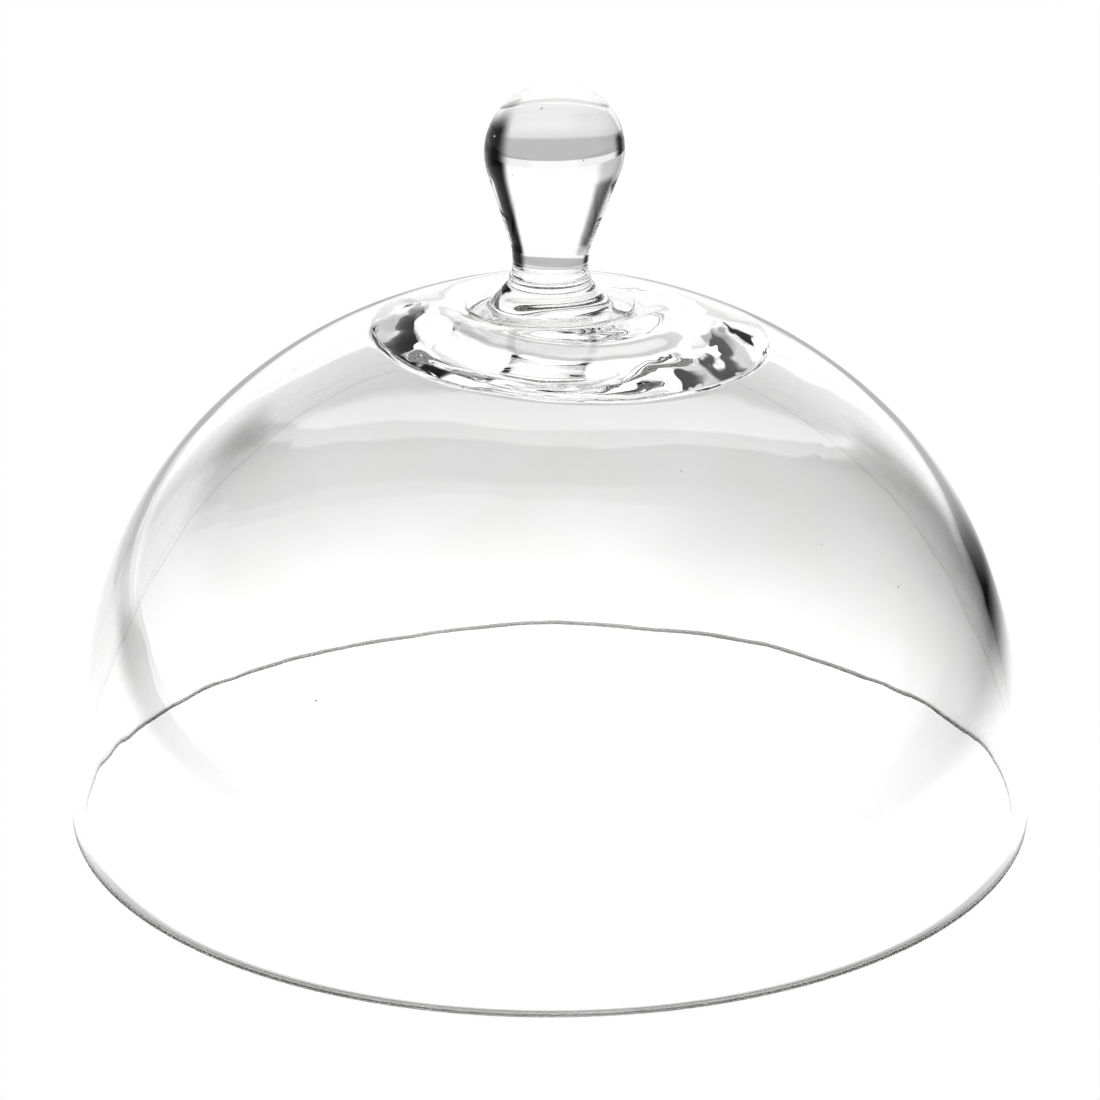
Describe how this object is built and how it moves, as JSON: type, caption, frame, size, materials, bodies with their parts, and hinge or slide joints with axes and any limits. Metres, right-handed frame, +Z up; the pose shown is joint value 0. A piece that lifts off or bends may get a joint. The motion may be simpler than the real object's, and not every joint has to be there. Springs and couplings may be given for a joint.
{
  "type": "glass cloche",
  "caption": "Clear blown-glass dome, open below, with a flared glass collar and a solid bulb-shaped knob on its crown.",
  "frame": {"origin": "centre of the plane that the rim rests on", "axes": "+Z up along the axis of the dome, collar and knob; X and Y are alike"},
  "size_m": [0.3, 0.3, 0.2247],
  "materials": {
    "clear_glass": "clear hand-blown soda-lime glass, fire polished and glossy"
  },
  "bodies": {
    "root": {"dome": "clear_glass", "collar": "clear_glass", "knob": "clear_glass"}
  },
  "joints": []
}
